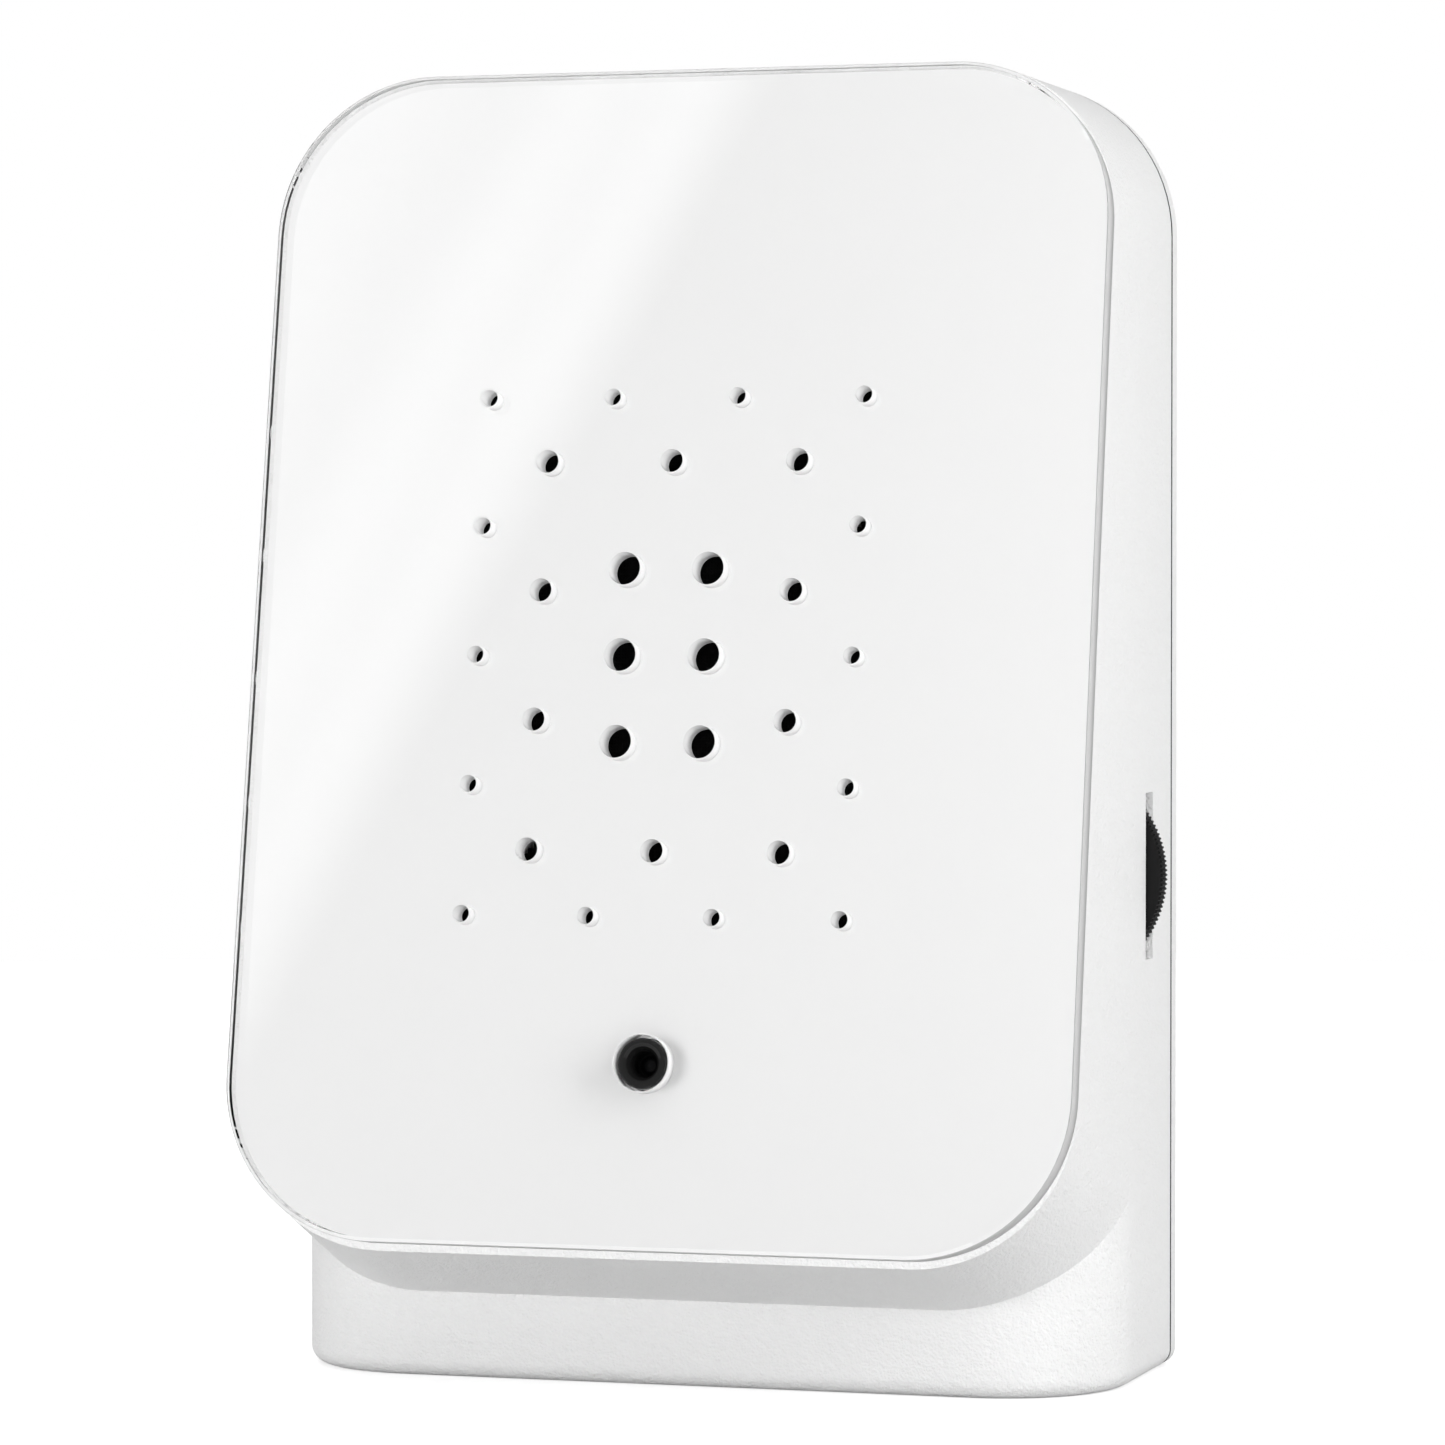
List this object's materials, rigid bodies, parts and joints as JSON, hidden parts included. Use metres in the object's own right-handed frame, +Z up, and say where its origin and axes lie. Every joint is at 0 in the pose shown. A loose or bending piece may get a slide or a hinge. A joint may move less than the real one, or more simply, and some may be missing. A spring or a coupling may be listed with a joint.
{
  "type": "motion-activated sound box",
  "caption": "Upright wedge-shaped sound box: a leaning clear front plate over white with a round-hole grille and a motion sensor, a set-back foot, a side thumbwheel and a hinged battery door.",
  "frame": {"origin": "middle of the casing's footprint (100 mm wide, 56 mm deep) on the surface it stands on", "axes": "+Z up, +Y towards the back cover, +X to the right as seen by someone facing the front plate"},
  "size_m": [0.1019, 0.0559, 0.152],
  "materials": {
    "clear_plate": "polished clear acrylic over a white print",
    "white_print": "flat white ink",
    "casing_white": "fine grained white plastic",
    "wheel_black": "black plastic, fine knurl",
    "bezel_black": "black plastic, smooth",
    "lens_smoked": "dark smoked moulded lens",
    "screen_black": "black acoustic cloth",
    "rubber_black": "rubber",
    "paper_black": "coated paper and cloth",
    "steel": "zinc plated steel",
    "ferrite": "ferrite",
    "copper": "enamelled copper wire",
    "fibreglass_green": "glass fibre board with solder mask",
    "chip_black": "moulded epoxy",
    "tin": "tinned metal",
    "plug_cream": "nylon plug",
    "cell_wrap": "printed cell wrap",
    "lead_cover": "insulated lead"
  },
  "bodies": {
    "casing": {"front_plate": "clear_plate", "plate_print": "white_print", "front_shell": "casing_white", "back_cover": "casing_white", "battery_tray": "casing_white", "keyhole_cup": "casing_white", "cover_screws": "steel", "board_screws": "steel", "speaker_washers": "steel", "speaker_screws": "steel", "sensor_screws": "steel", "dust_screen": "screen_black", "speaker_gasket": "rubber_black", "speaker_frame": "steel", "speaker_surround": "rubber_black", "speaker_spider": "paper_black", "speaker_top_plate": "steel", "speaker_magnet": "ferrite", "speaker_yoke": "steel", "speaker_terminals": "plug_cream", "sensor_bezel": "bezel_black", "sensor_lens": "lens_smoked", "sensor_can": "tin", "sensor_board": "fibreglass_green", "volume_control": "chip_black", "main_board": "fibreglass_green", "sound_chip": "chip_black", "amplifier_chip": "chip_black", "chip_legs": "tin", "capacitors": "chip_black", "resistors": "chip_black", "lead_plugs": "plug_cream", "battery_cell_1": "cell_wrap", "battery_cell_2": "cell_wrap", "battery_cell_3": "cell_wrap", "battery_contacts": "tin", "battery_springs": "tin", "speaker_leads": "lead_cover", "battery_leads": "lead_cover", "sensor_leads": "lead_cover"},
    "wheel": {"volume_wheel": "wheel_black", "volume_shaft": "tin", "wheel_screw": "steel"},
    "cone": {"speaker_cone": "paper_black", "speaker_dust_cap": "paper_black", "voice_coil": "copper"},
    "door": {"battery_door": "casing_white"}
  },
  "joints": [
    {"name": "wheel_turn", "type": "hinge", "parent": "casing", "child": "wheel", "pos_m": [0.0389, 0.01326, 0.0586], "axis": [0, 1, 0], "range_deg": [-150, 150]},
    {"name": "door_swing", "type": "hinge", "parent": "casing", "child": "door", "pos_m": [0, 0.0265, 0.0838], "axis": [-1, 0, 0], "range_deg": [0, 95]},
    {"name": "cone_stroke", "type": "slide", "parent": "casing", "child": "cone", "axis": [0, -0.986, 0.1668], "range_m": [-0.0005, 0.0005], "stiffness_N_per_m": 800}
  ]
}
